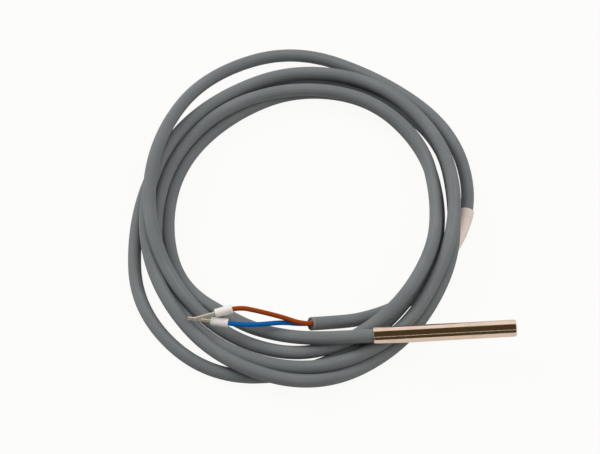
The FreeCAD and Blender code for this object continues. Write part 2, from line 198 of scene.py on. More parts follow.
table_top = bpy.data.materials.new("white table")
graph = Graph(emptied(table_top))
matt = graph.node("ShaderNodeBsdfDiffuse", sockets={"Color": FLOOR_MATT})
white = graph.node("ShaderNodeEmission", sockets={"Color": FLOOR_WHITE, "Strength": 1.0})
share = seen_rays(graph, GLOSS_SHARE) * (1 - SHADOW_SHARE)
surface = graph.node("ShaderNodeMixShader", sockets={0: share, 1: matt, 2: white})
graph.node("ShaderNodeOutputMaterial", sockets={"Surface": surface})

corners = [(-1, -1), (1, -1), (1, 1), (-1, 1)]
floor_corners = [(x * FLOOR_HALF, y * FLOOR_HALF, FLOOR_Z) for x, y in corners]
floor = new_mesh_object("floor", floor_corners, [(0, 1, 2, 3)], table_top)
print("floor at", FLOOR_Z)

# %% [markdown]
# A polished sleeve shows what is round it, and in a white room it would look flat. So two dark
# curved screens stand in front and overhead. The narrow gap between them shows as a thin bright line
# along the sleeve. Only reflections see the screens, so they dim nothing else.

# %% Dark screens for the sleeve's reflection
SCREEN_RADIUS = 1.2
SCREEN_HALF_WIDTH = 1.6
SCREEN_STEPS = 12
# Each screen's lower and upper edge, in degrees from the front horizon over the top.
SCREENS = {"front_screen": (0.0, 41.0), "top_screen": (45.0, 121.0)}
CLOTH_BROWN = (0.07, 0.056, 0.026, 1.0)

dark_cloth = bpy.data.materials.new("dark cloth")
graph = Graph(emptied(dark_cloth))
cloth = graph.node("ShaderNodeEmission", sockets={"Color": CLOTH_BROWN, "Strength": 1.0})
graph.node("ShaderNodeOutputMaterial", sockets={"Surface": cloth})
for name, (low, high) in SCREENS.items():
    rows = []
    for step in range(SCREEN_STEPS + 1):
        angle = math.radians(low + (high - low) * step / SCREEN_STEPS)
        y = -SCREEN_RADIUS * math.cos(angle)
        z = FLOOR_Z + SCREEN_RADIUS * math.sin(angle)
        rows += [(-SCREEN_HALF_WIDTH, y, z), (SCREEN_HALF_WIDTH, y, z)]
    faces = [(2 * i, 2 * i + 1, 2 * i + 3, 2 * i + 2) for i in range(SCREEN_STEPS)]
    screen = new_mesh_object(name, rows, faces, dark_cloth)
    screen.visible_camera = False
    screen.visible_diffuse = False
    screen.visible_shadow = False
    screen.visible_transmission = False
print("screens:", ", ".join(SCREENS))

# %% [markdown]
# The cable's shading fits a window at the left and behind, a pale ceiling and a weaker light from a
# wall at the right. Large area lamps stand for them, because their shadows are as soft as a window's.
# The room adds a little light from all sides, yet it looks white to the lens and in reflections.

# %% Lamps and room light
ROOM_STRENGTH = 0.22
ROOM_WHITE = (1.0, 0.99, 0.975, 1.0)
LAMP_WHITE = (1.0, 0.985, 0.96)
LAMP_AIM = Vector((-0.06, 0.05, FLOOR_Z))
LAMPS = {
    # place in metres, size in metres, watts
    "window": ((-1.1, 0.8, 0.95), 0.9, 19.0),
    "ceiling": ((0.15, 0.1, 1.3), 1.3, 7.0),
    "right_wall": ((1.15, -0.35, 0.8), 1.0, 8.0),
}

world = bpy.data.worlds.new("white room")
scene.world = world
graph = Graph(emptied(world))
strength = seen_rays(graph) * (1 - ROOM_STRENGTH) + ROOM_STRENGTH
room = graph.node("ShaderNodeBackground", sockets={"Color": ROOM_WHITE, "Strength": strength})
graph.node("ShaderNodeOutputWorld", sockets={"Surface": room})
for name, (place, size, watts) in LAMPS.items():
    lamp = bpy.data.lights.new(name, "AREA")
    lamp.size = size
    lamp.energy = watts
    lamp.color = LAMP_WHITE
    stand = bpy.data.objects.new(name, lamp)
    stand.location = place
    aim = LAMP_AIM - stand.location
    stand.rotation_euler = aim.to_track_quat("-Z", "Y").to_euler()
    stand.visible_glossy = False
    scene.collection.objects.link(stand)
print("lamps:", ", ".join(LAMPS))

# %% [markdown]
# ## Finishes
# Each finish ends in one Principled shader. A value that is the same all over is set on its
# socket. What changes over the surface, such as grain or scuffs, comes from noise in the piece's
# own coordinates. Lengths are metres, so a noise scale of 1000 has grains of about a millimetre.


# %% A base for every finish
class Finish(Graph):
    """A material's tree, with the patterns that the finishes share."""

    def __init__(self, name):
        self.material = bpy.data.materials.new(name)
        super().__init__(emptied(self.material))

    def place(self):
        return self.node("ShaderNodeTexCoord", out="Object")

    def lay(self):
        """Where a point is on a cord: two numbers for the way round, one for the way along."""
        return self.node("ShaderNodeAttribute", {"attribute_name": "lay"}, out="Vector")

    def stretched(self, vector, scale):
        return self.node("ShaderNodeMapping", sockets={"Vector": vector, "Scale": scale})

    def noise(self, vector, scale, detail=3.0):
        sockets = {"Vector": vector, "Scale": scale, "Detail": detail}
        return self.node("ShaderNodeTexNoise", sockets=sockets)

    def band(self, value, low, high):
        """Nought below low, one above high, and smooth between."""
        settings = {"interpolation_type": "SMOOTHSTEP"}
        sockets = {"Value": value, "From Min": low, "From Max": high}
        return self.node("ShaderNodeMapRange", settings, sockets)

    def blend(self, factor, first, second):
        """A colour between two colours of red, green and blue."""
        # The Mix node has its colours in sockets 6 and 7.
        sockets = {0: factor, 6: (*first, 1.0), 7: (*second, 1.0)}
        return self.node("ShaderNodeMix", {"data_type": "RGBA"}, sockets, out=2)

    def bump(self, height, distance):
        return self.node("ShaderNodeBump", sockets={"Height": height, "Distance": distance})

    def close(self, sockets):
        """Ends the tree in its shader and gives the material."""
        surface = self.node("ShaderNodeBsdfPrincipled", sockets=sockets)
        self.node("ShaderNodeOutputMaterial", sockets={"Surface": surface})
        return self.material


print("finish helper ready")

# %% [markdown]
# The jacket is grey PVC with a satin skin. It came out of a die, so fine lines run along it, and
# handling leaves paler scuffs. Its pattern follows the cable through an attribute that the tube
# carries, so that the lines bend with the turns.

# %% Grey cable jacket
JACKET_GREY = (0.148, 0.161, 0.168)
JACKET_SCUFF = (0.192, 0.205, 0.212)


def grey_jacket():
    finish = Finish("grey cable jacket")
    streaks = finish.noise(finish.stretched(finish.lay(), scale=(9, 9, 14)), scale=1.0, detail=4.0)
    clouds = finish.noise(finish.place(), scale=60.0)
    grain = finish.noise(finish.place(), scale=2600.0, detail=2.0)
    paleness = finish.band(streaks * 0.55 + clouds * 0.45, low=0.42, high=0.68)
    return finish.close(
        {
            "Base Color": finish.blend(paleness, JACKET_GREY, JACKET_SCUFF),
            "Roughness": 0.44 + 0.16 * clouds + 0.06 * grain,
            "IOR": 1.5,
            "Specular IOR Level": 0.3,
            "Normal": finish.bump(grain * 0.5 + streaks * 0.5, distance=0.06 * MM),
        }
    )


jacket = grey_jacket()
print("jacket:", jacket.name)

# %% [markdown]
# The cut end shows the jacket's wall, a little torn by the blade and paler than the skin. One noise
# drives its colour, its roughness and its bump, because a tear is paler, rougher and higher at once.

# %% Cut face of the jacket
CUT_DARK = (0.15, 0.152, 0.155)
CUT_PALE = (0.27, 0.27, 0.268)


def cut_jacket_face():
    finish = Finish("cut jacket face")
    tear = finish.noise(finish.place(), scale=1800.0, detail=4.0)
    return finish.close(
        {
            "Base Color": finish.blend(tear, CUT_DARK, CUT_PALE),
            "Roughness": 0.55 + 0.25 * tear,
            "Normal": finish.bump(tear, distance=0.1 * MM),
        }
    )


cut_face = cut_jacket_face()
print("cut face:", cut_face.name)

# %% [markdown]
# The sleeve is stainless steel, drawn and then polished on a lathe. Polishing leaves very fine
# rings round it, which blur what it mirrors a little. Noise that is squeezed along the sleeve makes
# such rings. Rubbed patches are a shade duller. The base colour is warmer than plain steel: that
# warmth is painted light, the warm tint of the light and of what the sleeve mirrors.

# %% Polished steel
# Both colours carry a painted warm tint of light and reflection; the second is also duller rubbed wear.
STEEL_PAINTED_WARM = (0.8, 0.62, 0.5)
STEEL_RUBBED_PAINTED_WARM = (0.72, 0.55, 0.44)


def polished_steel():
    finish = Finish("polished stainless steel")
    rings = finish.noise(finish.stretched(finish.place(), scale=(5200, 130, 130)), scale=1.0)
    patches = finish.noise(finish.place(), scale=160.0, detail=4.0)
    rubbed = finish.band(patches, low=0.45, high=0.75)
    return finish.close(
        {
            "Base Color": finish.blend(rubbed, STEEL_PAINTED_WARM, STEEL_RUBBED_PAINTED_WARM),
            "Metallic": 1.0,
            "Roughness": 0.09 + 0.08 * rings + 0.07 * rubbed,
            "Normal": finish.bump(rings, distance=0.003 * MM),
        }
    )


steel = polished_steel()
print("steel:", steel.name)

# %% [markdown]
# The cores are coloured PVC, smoother than the jacket, with small marks where the jacket was
# stripped off. One function makes both, because they differ only in colour. The marks use the same
# attribute as the jacket's lines, so that they follow each core's bends.

# %% Coloured core insulation
# Each core's colour, and a paler one for its marks.
CORE_COLOURS = {
    "brown": ((0.29, 0.046, 0.001), (0.36, 0.068, 0.003)),
    "blue": ((0.0, 0.125, 0.43), (0.002, 0.15, 0.5)),
}


def core_insulation(name, colour, pale):
    finish = Finish(name)
    marks = finish.noise(finish.lay(), scale=3.0, detail=4.0)
    fine = finish.noise(finish.place(), scale=3500.0, detail=2.0)
    marked = finish.band(marks, low=0.45, high=0.75)
    return finish.close(
        {
            "Base Color": finish.blend(marked, colour, pale),
            "Roughness": 0.4 + 0.14 * marks,
            "Specular IOR Level": 0.14,
            "Normal": finish.bump(fine, distance=0.03 * MM),
        }
    )


core_finishes = {}
for name, (colour, pale) in CORE_COLOURS.items():
    core_finishes[name] = core_insulation(f"{name} core insulation", colour, pale)
print("cores:", ", ".join(core_finishes))

# %% [markdown]
# A ferrule is a moulded collar on a tinned copper barrel. The collar is a milky plastic that
# light enters a little, which subsurface scattering shows better than plain white. The barrel is
# dulled by the crimping tool, and bare copper shows at its tip.

# %% Ferrule finishes
COLLAR_WHITE = (0.84, 0.815, 0.79)
COLLAR_HAZE = (0.74, 0.715, 0.69)
TIN_BRIGHT = (0.86, 0.78, 0.69)
TIN_DULL = (0.6, 0.52, 0.44)
COPPER_BRIGHT = (0.85, 0.3, 0.13)
COPPER_DULL = (0.55, 0.17, 0.07)


def milky_collar():
    finish = Finish("milky ferrule collar")
    haze = finish.noise(finish.place(), scale=700.0)
    return finish.close(
        {
            "Base Color": finish.blend(haze, COLLAR_WHITE, COLLAR_HAZE),
            "Roughness": 0.32 + 0.15 * haze,
            "IOR": 1.49,
            "Subsurface Weight": 0.3,
            "Subsurface Scale": 0.8 * MM,
            "Normal": finish.bump(haze, distance=0.04 * MM),
        }
    )


def tinned_barrel():
    finish = Finish("tinned copper")
    tarnish = finish.noise(finish.place(), scale=900.0, detail=4.0)
    return finish.close(
        {
            "Base Color": finish.blend(tarnish, TIN_BRIGHT, TIN_DULL),
            "Metallic": 0.75,
            "Roughness": 0.36 + 0.2 * tarnish,
            "Normal": finish.bump(tarnish, distance=0.03 * MM),
        }
    )


def bare_copper():
    finish = Finish("bare copper")
    patina = finish.noise(finish.place(), scale=1500.0, detail=4.0)
    return finish.close(
        {
            "Base Color": finish.blend(patina, COPPER_BRIGHT, COPPER_DULL),
            "Metallic": 0.8,
            "Roughness": 0.3 + 0.2 * patina,
        }
    )


collar_plastic = milky_collar()
tinned = tinned_barrel()
copper = bare_copper()
print("ferrules:", collar_plastic.name, tinned.name, copper.name)

# %% [markdown]
# The label is a strip of matt paper tape round the cable, bare and a little soiled. Fine noise makes
# the paper's fibres and coarse noise the soiled patches, so that no picture is needed.

# %% Paper label
PAPER_CLEAN = (0.83, 0.72, 0.65)
PAPER_SOILED = (0.745, 0.645, 0.58)


def paper_tape():
    finish = Finish("paper wrap label")
    fibres = finish.noise(finish.place(), scale=2200.0, detail=5.0)
    patches = finish.noise(finish.place(), scale=180.0, detail=4.0)
    soil = finish.band(patches, low=0.4, high=0.75)
    return finish.close(
        {
            "Base Color": finish.blend(soil, PAPER_CLEAN, PAPER_SOILED),
            "Roughness": 0.7 + 0.2 * fibres,
            "Specular IOR Level": 0.25,
            "Normal": finish.bump(fibres, distance=0.08 * MM),
        }
    )


paper = paper_tape()
print("label:", paper.name)

# %% [markdown]
# ## The cable's loose ends
# The cable is one smooth line from the sleeve's mouth to the cut end. A physics run could drop a
# cable on a table, but it would not come to rest as this one did, so the line is drawn. Its first
# stretch leaves the sleeve straight and sinks onto the floor. Its last stretch lies across the coil
# and tips up at the cut. Both are short lists of points, the same as the solids have, up to where
# the coil takes over.

# %% Points of the loose ends
# Millimetres from the sleeve's mouth.
LEAD_ROUTE = [
    (0.0, 0.0, 0.0),
    (-10.0, 0.0, 0.0),
    (-23.0, 2.2, -3.8),
    (-35.0, 6.8, -8.0),
    (-46.0, 12.6, -10.3),
]
TAIL_ROUTE = [
    (20.0, 22.0, -10.4),
    (9.5, 14.9, -9.4),
    (-3.0, 11.5, -10.0),
    (-12.8, 10.7, -9.4),
    (-21.2, 8.4, -4.9),
]
MOUTH = Vector((-50.0, 0.0, 0.0))


def from_mouth(points):
    return [(MOUTH + Vector(point)) * MM for point in points]


print(len(LEAD_ROUTE), "points at the sleeve,", len(TAIL_ROUTE), "at the cut end")

# %% [markdown]
# ## The coil's turns
# A cable that is coiled by hand has no two turns alike. Each turn is given by how far it lies from
# the coil's middle at the four quarters of a clock face seen from above, as judged in the
# photo. A loop works out the hours in between, easing from one quarter to the next. Where a turn
# strays from that, a bulge is added: the loose loop at the lower left is the largest.

# %% Reach of the turns
# Millimetres along x and y from the sleeve's tip.
COIL_MIDDLE = (-70.5, 56.0)
HOURS_A_TURN = 12
HOURS_A_QUARTER = 3
# Hours count on from turn to turn: the coil starts at eight o'clock and ends at four, hour 64.
FIRST_SIX = 6
FIRST_HOUR = 8
LAST_HOUR = 64
REACH_AT_FIRST_SIX = 52
# Millimetres at nine, twelve, three and six o'clock, one turn after the other.
TURNS = [
    (50, 55, 49, 62),
    (61, 61, 54, 70),
    (58, 61, 55, 65),
    (54, 53, 48, 58),
    (56, 73, 60, 44),
]
# Millimetres by which each turn strays outwards or inwards, by the hour.
BULGES = [
    {8: 2, 10: -1, 11: -3, 13: 2, 14: 2, 16: -2, 17: -5},
    {19: 10, 20: 8.5, 22: -2, 25: 1, 26: 4, 28: -1, 29: -4},
    {31: -0.5, 32: -0.5, 34: -2, 35: -2, 37: 2, 38: 2, 39: -0.5, 40: -3, 41: -2.5},
    {44: 2, 46: -0.5, 49: 1.5, 50: 2.5, 51: -0.5, 52: -1, 53: -2, 55: -1.5, 56: -1},
    {58: -1.5, 59: -1.5, 61: -3.5, 62: 2.5, 63: 1, 64: -3.5},
]
quarters = [REACH_AT_FIRST_SIX, *sum(TURNS, ())]
bulges = {hour: size for turn_bulges in BULGES for hour, size in turn_bulges.items()}


def eased_reach(hour):
    """The reach at an hour, between those of the quarters before and after it."""
    quarter, past = divmod(hour - FIRST_SIX, HOURS_A_QUARTER)
    share = (1 - math.cos(math.pi * past / HOURS_A_QUARTER)) / 2
    before, after = quarters[quarter:quarter + 2]
    return before + share * (after - before) + bulges.get(hour, 0)


reach = {hour: eased_reach(hour) for hour in range(FIRST_HOUR, LAST_HOUR + 1)}
print(len(reach), "hours of cable in the coil")

# %% [markdown]
# The turns also lie on each other, so each needs a lift above the floor. The piles say which turn
# is on which, in the left and the right half of the coil. A loop then lets every strand rest on
# those below it: touching side by side, or right over one where they cross. A stiff cable can't
# drop at once, so each lift also holds up its neighbours along the line. The first turn lies on
# the cable's own free end too, which has its own route, so its lift there is given.

# %% Lift of the turns
CABLE_D = 4.8
GAP = 0.1
REST = CABLE_D / 2 + GAP
SPACING = CABLE_D + GAP
# Millimetres that the cable can drop within an hour.
FALL = 5.5
# Share of the spacing that isn't needed when a crossing is a whole hour away.
FAR_CROSSING_DROP = 0.8
SETTLING_ROUNDS = 8
# Turns from the floor up, counted from the first six o'clock.
LEFT_PILE = (0, 1, 3, 2, 4)
RIGHT_PILE = (4, 1, 0, 2, 3)
# Least lift in millimetres at three hours: two over the free end, one over a crossing.
PROPPED = {16: 9.0, 17: 6.5, 42: 8.0}


def rise_over(upper, lower):
    """How far one strand lies above another at the same hour, in millimetres."""
    apart = reach[upper] - reach[lower]
    rise = math.sqrt(max(SPACING**2 - apart**2, 0))
    for step in (-1, 1):
        if upper + step in reach and lower + step in reach:
            next_apart = reach[upper + step] - reach[lower + step]
            if apart * next_apart < 0:
                crossing = abs(apart) / abs(apart - next_apart)
                past_half = max(2 * crossing - 1, 0)
                rise = max(rise, SPACING * (1 - FAR_CROSSING_DROP * past_half))
    return rise


def pile_at(place):
    """The hours that lie at one place of the clock face, from the floor up."""
    order = LEFT_PILE if place < HOURS_A_TURN / 2 else RIGHT_PILE
    hours = [FIRST_SIX + place + HOURS_A_TURN * turn for turn in order]
    return [hour for hour in hours if hour in reach]


def rest_on_piles(lift):
    """Lifts every strand onto those below it."""
    for place in range(HOURS_A_TURN):
        pile = pile_at(place)
        for level, upper in enumerate(pile):
            for lower in pile[:level]:
                rise = rise_over(upper, lower)
                if rise > 0:
                    lift[upper] = max(lift[upper], lift[lower] + rise)


def hold_up_neighbours(lift):
    """Lifts the cable before and after each hour, as far as its stiffness does."""
    along = list(reach)
    for line in (along, along[::-1]):
        for before, hour in zip(line, line[1:]):
            lift[hour] = max(lift[hour], lift[before] - FALL)


lift = {hour: PROPPED.get(hour, REST) for hour in reach}
for _ in range(SETTLING_ROUNDS):
    rest_on_piles(lift)
    hold_up_neighbours(lift)
print("lifts from", min(lift.values()), "to", round(max(lift.values()), 1), "mm")

# %% [markdown]
# A NURBS spline suits a stiff cable, because it glides past its points. It touches only the middle
# of each straight between two of them, so points thirty degrees apart have to stand further out by
# the cosine of fifteen degrees. It also cuts the top off a hump by an eighth of the bend there, so
# that much is added to the lift first.

# %% Points of the coil
HOUR_ANGLE = 2 * math.pi / HOURS_A_TURN
HUMP_LOSS = 1 / 8


def clock_point(hour):
    """A point of the coil in metres, from its hour on a clock face seen from above."""
    angle = math.pi / 2 - HOUR_ANGLE * hour
    out = reach[hour] / math.cos(HOUR_ANGLE / 2)
    x = COIL_MIDDLE[0] + out * math.cos(angle)
    y = COIL_MIDDLE[1] + out * math.sin(angle)
    beside = [lift.get(hour + step, lift[hour]) for step in (-1, 1)]
    hump = max(2 * lift[hour] - sum(beside), 0) * HUMP_LOSS
    return Vector((x, y, FLOOR_Z / MM + lift[hour] + hump)) * MM


coil_points = [clock_point(hour) for hour in reach]
cable_points = from_mouth(LEAD_ROUTE) + coil_points + from_mouth(TAIL_ROUTE)
print(len(cable_points), "points for the cable")

# %% [markdown]
# The spline itself isn't kept. Its curve is read back as a row of close points, so that the tube, the
# label and the cable's length all follow the same line.

# %% One smooth line
LINE_STEPS = 12


def smooth_line(name, points):
    """Points along an open NURBS spline that has the given control points."""
    curve = bpy.data.curves.new(name, "CURVE")
    curve.dimensions = "3D"
    curve.resolution_u = LINE_STEPS
    spline = curve.splines.new("NURBS")
    spline.points.add(len(points) - 1)
    for handle, point in zip(spline.points, points):
        handle.co = (*point, 1.0)
    spline.order_u = 3
    spline.use_endpoint_u = True
    holder = bpy.data.objects.new(name, curve)
    scene.collection.objects.link(holder)
    mesh = bpy.data.meshes.new_from_object(holder)
    line = [vertex.co.copy() for vertex in mesh.vertices]
    bpy.data.meshes.remove(mesh)
    bpy.data.objects.remove(holder)
    bpy.data.curves.remove(curve)
    return line


def line_length(line):
    return sum((b - a).length for a, b in zip(line, line[1:]))


cable_line = smooth_line("cable_line", cable_points)
cable_length = line_length(cable_line)
print(f"cable line: {len(cable_line)} points, {cable_length:.3f} m")

# %% [markdown]
# ## The cable's skin
# A tube along a line is what Geometry Nodes do well. The tree turns the line into a curve, cuts it
# to a stretch, sweeps a circle along it and notes for each point where it is on the cable. The same
# tree makes the thin cores.


# %% A tree with named inputs
def new_tree(name, inputs):
    """A Geometry Nodes tree, and its inputs by name."""
    tree = bpy.data.node_groups.new(name, "GeometryNodeTree")
    for label, kind in inputs.items():
        tree.interface.new_socket(label, in_out="INPUT", socket_type=f"NodeSocket{kind}")
    tree.interface.new_socket("Result", in_out="OUTPUT", socket_type="NodeSocketGeometry")
    graph = Graph(tree)
    given = graph.node("NodeGroupInput", out=tuple(inputs))
    return graph, dict(zip(inputs, given))


def end_tree(graph, geometry, finish):
    """Ends a tree in plain faces with their finish."""
    geometry = graph.node("GeometryNodeRealizeInstances", sockets={"Geometry": geometry})
    sockets = {"Geometry": geometry, "Material": finish}
    graph.node("NodeGroupOutput", sockets={0: graph.node("GeometryNodeSetMaterial", sockets=sockets)})
    return graph.tree


print("tree helpers ready")


# %% Tube tree
def tube_tree():
    inputs = {
        "Line": "Geometry",
        "Radius": "Float",
        "Sides": "Int",
        "Step": "Float",
        "End": "Float",
        "Finish": "Material",
    }
    graph, given = new_tree("tube along a line", inputs)
    radius = given["Radius"]
    by_length = {"mode": "LENGTH"}
    curve = graph.node("GeometryNodeMeshToCurve", sockets={"Mesh": given["Line"]})
    # The Trim Curve node takes its end as a length in socket 5.
    curve = graph.node("GeometryNodeTrimCurve", by_length, {0: curve, 5: given["End"]})
    curve = graph.node("GeometryNodeResampleCurve", by_length, {"Curve": curve, "Length": given["Step"]})
    sockets = {"Resolution": given["Sides"], "Radius": radius}
    circle = graph.node("GeometryNodeCurvePrimitiveCircle", sockets=sockets)

    capture = "GeometryNodeCaptureAttribute"
    length = graph.node("GeometryNodeSplineParameter", out="Length")
    sockets = {"Geometry": curve, "along": length}
    curve, along = graph.node(capture, {"captures": {"along": "FLOAT"}}, sockets, out=(0, "along"))
    sockets = {"Geometry": circle, "round": graph.node("GeometryNodeInputPosition")}
    circle, way_round = graph.node(capture, {"captures": {"round": "VECTOR"}}, sockets, out=(0, "round"))

    sockets = {"Curve": curve, "Profile Curve": circle, "Fill Caps": True}
    tube = graph.node("GeometryNodeCurveToMesh", sockets=sockets)
    across, up = graph.node("ShaderNodeSeparateXYZ", sockets={0: way_round}, out=("X", "Y"))
    sockets = {"X": across / radius, "Y": up / radius, "Z": along}
    lay = graph.node("ShaderNodeCombineXYZ", sockets=sockets)
    settings = {"data_type": "FLOAT_VECTOR", "domain": "POINT"}
    sockets = {"Geometry": tube, "Name": "lay", "Value": lay}
    tube = graph.node("GeometryNodeStoreNamedAttribute", settings, sockets)
    return end_tree(graph, tube, given["Finish"])


tube_nodes = tube_tree()
print("tube tree:", len(tube_nodes.nodes), "nodes")

# %% [markdown]
# A modifier runs the tree. Its inputs are set through the sockets' identifiers, before Blender first
# works the piece out. The result is then kept as a plain mesh and the modifier is removed, because
# later steps need faces, not a recipe.

# %% Grow a piece from a tree
SHARP_EDGE = math.radians(40)


def smooth(mesh):
    """Shades a mesh smoothly, except over sharp edges."""
    for polygon in mesh.polygons:
        polygon.use_smooth = True
    mesh.set_sharp_from_angle(angle=SHARP_EDGE)


def grown(name, tree, values, line=()):
    """A piece with the mesh that a Geometry Nodes tree makes, from a line of points or from none."""
    seed = bpy.data.meshes.new(name)
    seed.from_pydata(line, [(i, i + 1) for i in range(len(line) - 1)], [])
    piece = bpy.data.objects.new(name, seed)
    scene.collection.objects.link(piece)
    modifier = piece.modifiers.new("grow", "NODES")
    modifier.node_group = tree
    inputs = [item for item in tree.interface.items_tree if item.in_out == "INPUT"]
    identifiers = {item.name: item.identifier for item in inputs}
    for label, value in values.items():
        modifier[identifiers[label]] = value
    ready = piece.evaluated_get(bpy.context.evaluated_depsgraph_get())
    mesh = bpy.data.meshes.new_from_object(ready)
    piece.modifiers.remove(modifier)
    piece.data = mesh
    smooth(mesh)
    return piece


print("growing helper ready")

# %% [markdown]
# The cable's tube stops a little short of the cut, where a turned piece takes over.

# %% Cable
JACKET_R = CABLE_D / 2 * MM
CUT_DEPTH = 0.8 * MM
sizes = {
    "Radius": JACKET_R,
    "Sides": 24,
    "Step": 2 * MM,
    "End": cable_length - CUT_DEPTH,
    "Finish": jacket,
}
cable = grown("cable", tube_nodes, sizes, cable_line)
print("cable:", len(cable.data.polygons), "faces")

# %% [markdown]
# ## The cut end of the jacket
# The jacket is cut square, and the cores come out of it. Turned pieces like this end share one
# helper: an outline of distances and radii is spun about a direction. Blender's Screw modifier could
# do that too, but it would need one more object to aim its axis.


# %% Turned pieces
def turned(name, outline, start, along, material, sides=32, closed=True):
    """Spins an outline of (distance, radius) pairs about an axis from a point."""
    first = along.orthogonal().normalized()
    second = along.cross(first)
    angles = [2 * math.pi * side / sides for side in range(sides)]
    spokes = [math.cos(angle) * first + math.sin(angle) * second for angle in angles]
    shape = bmesh.new()
    rings = []
    for distance, radius in outline:
        centre = start + along * distance
        if radius == 0:
            rings.append([shape.verts.new(centre)] * sides)
        else:
            rings.append([shape.verts.new(centre + radius * spoke) for spoke in spokes])
    following = rings[1:] + rings[:1] if closed else rings[1:]
    for ring, beyond in zip(rings, following):
        for side in range(sides):
            after = (side + 1) % sides
            around = dict.fromkeys([ring[side], ring[after], beyond[after], beyond[side]])
            shape.faces.new(list(around))
    bmesh.ops.recalc_face_normals(shape, faces=shape.faces)
    mesh = bpy.data.meshes.new(name)
    shape.to_mesh(mesh)
    shape.free()
    smooth(mesh)
    mesh.materials.append(material)
    piece = bpy.data.objects.new(name, mesh)
    scene.collection.objects.link(piece)
    return piece


print("turning helper ready")

# %% [markdown]
# The end is a short cap on the tube: the jacket's outside, a cut face with a broken edge, and a
# shallow hollow that the cores come out of.

# %% Jacket end
JACKET_BORE_R = 1.87 * MM
HOLLOW = 0.35 * MM
EDGE = 0.12 * MM
end_point = cable_line[-1]
outward = (cable_line[-1] - cable_line[-2]).normalized()
seat = end_point - outward * CUT_DEPTH
wall = [
    (0.0, 0.0),
    (0.0, JACKET_R),
    (CUT_DEPTH - EDGE, JACKET_R),
    (CUT_DEPTH, JACKET_R - EDGE),
    (CUT_DEPTH, JACKET_BORE_R),
    (CUT_DEPTH - HOLLOW, JACKET_BORE_R),
    (CUT_DEPTH - HOLLOW, 0.0),
]
jacket_end = turned("jacket_end", wall, seat, outward, cut_face, closed=False)
print("jacket end at", tuple(round(value, 4) for value in end_point))

# %% [markdown]
# ## The cores
# The cores leave the jacket one over the other, then bend up over the turns to their ferrules. They
# are cables too, only thinner, so they use the same spline and the same tube.

# %% Cores
CORE_D = 1.7 * MM
CORE_OFFSET = 0.98 * MM
CORE_STRAIGHT = 3.5 * MM
# Millimetres of core that lie straight before its collar, and as much again in it.
CORE_SEAT = 2.4
# The way from the blue core to the brown one at the cut.
CORE_STACK = Vector((0.0, -0.5, 0.87))
# Points and places are millimetres from the sleeve's mouth, as for the cable.
CORES = {
    "brown": {
        "side": 1,
        "points": [(-31.0, 10.0, -1.6), (-40.0, 11.8, 0.9)],
        "ferrule": Vector((-48.5, 12.8, 1.3)),
        "along": Vector((-6.1, -1.35, -0.1)).normalized(),
    },
    "blue": {
        "side": -1,
        "points": [(-31.0, 9.0, -3.6), (-40.5, 8.0, -2.6)],
        "ferrule": Vector((-50.2, 8.7, -1.6)),
        "along": Vector((-6.3, 1.2, 0.15)).normalized(),
    },
}
stack = (CORE_STACK - outward * CORE_STACK.dot(outward)).normalized()
core_lines = {}
cores = {}
for colour, core in CORES.items():
    offset = stack * core["side"] * CORE_OFFSET
    before = core["ferrule"] - core["along"] * CORE_SEAT
    inside = core["ferrule"] + core["along"] * CORE_SEAT
    points = [end_point + outward * way + offset for way in (-CORE_STRAIGHT, CORE_STRAIGHT)]
    points += from_mouth(core["points"] + [before, inside])
    line = smooth_line(f"core_line_{colour}", points)
    sizes = {
        "Radius": CORE_D / 2,
        "Sides": 20,
        "Step": 0.6 * MM,
        "End": line_length(line),
        "Finish": core_finishes[colour],
    }
    core_lines[colour] = line
    cores[colour] = grown(f"core_{colour}_insulation", tube_nodes, sizes, line)
    print(f"{colour} core: {line_length(line):.4f} m")

# %% [markdown]
# ## The ferrules' metal
# The crimping tool presses a row of notches into each barrel. The barrel is spun from an outline,
# and a loop adds the notches to it. The collars keep the shape of their solids.

# %% Crimped barrels
COLLAR_LENGTH = 6.3 * MM
BARREL_LENGTH = 8.0 * MM
BARREL_R = 0.65 * MM
BARREL_HOLE_R = 0.49 * MM
BARREL_BACK = 3.1 * MM
FLARE = 0.25 * MM
NOTCHES = 6
NOTCH_PITCH = 1.1 * MM
NOTCH_DEPTH = 0.09 * MM
# One notch: shares of the pitch along the barrel, with shares of the depth.
NOTCH_FORM = [(-0.3, 0), (-0.15, 1), (0.15, 1), (0.3, 0)]
FIRST_NOTCH = COLLAR_LENGTH + 1.0 * MM
BARREL_SIDES = 24


def barrel_outline():
    outline = [(BARREL_BACK, BARREL_HOLE_R + FLARE), (BARREL_BACK, BARREL_R + FLARE)]
    outline.append((COLLAR_LENGTH, BARREL_R))
    for notch in range(NOTCHES):
        middle = FIRST_NOTCH + notch * NOTCH_PITCH
        for step, depth in NOTCH_FORM:
            outline.append((middle + step * NOTCH_PITCH, BARREL_R - depth * NOTCH_DEPTH))
    end = COLLAR_LENGTH + BARREL_LENGTH
    outline += [(end, BARREL_R), (end, BARREL_HOLE_R), (COLLAR_LENGTH, BARREL_HOLE_R)]
    return outline


barrels = {}
for colour, core in CORES.items():
    start = (MOUTH + core["ferrule"]) * MM
    name = f"barrel_{colour}_crimped"
    barrels[colour] = turned(name, barrel_outline(), start, core["along"], tinned, BARREL_SIDES)
print("barrels with", NOTCHES, "notches each")

# %% [markdown]
# The conductor is sixteen fine copper wires. Geometry Nodes place one wire at each of sixteen points
# that wind outwards like the seeds of a sunflower, which packs them evenly in a circle. A random
# length leaves their ends uneven, as a blade does.

# %% Strand tree
SUNFLOWER_ANGLE = math.radians(137.5)
WIRE_SIDES = 8
BLADE_SEED = 4


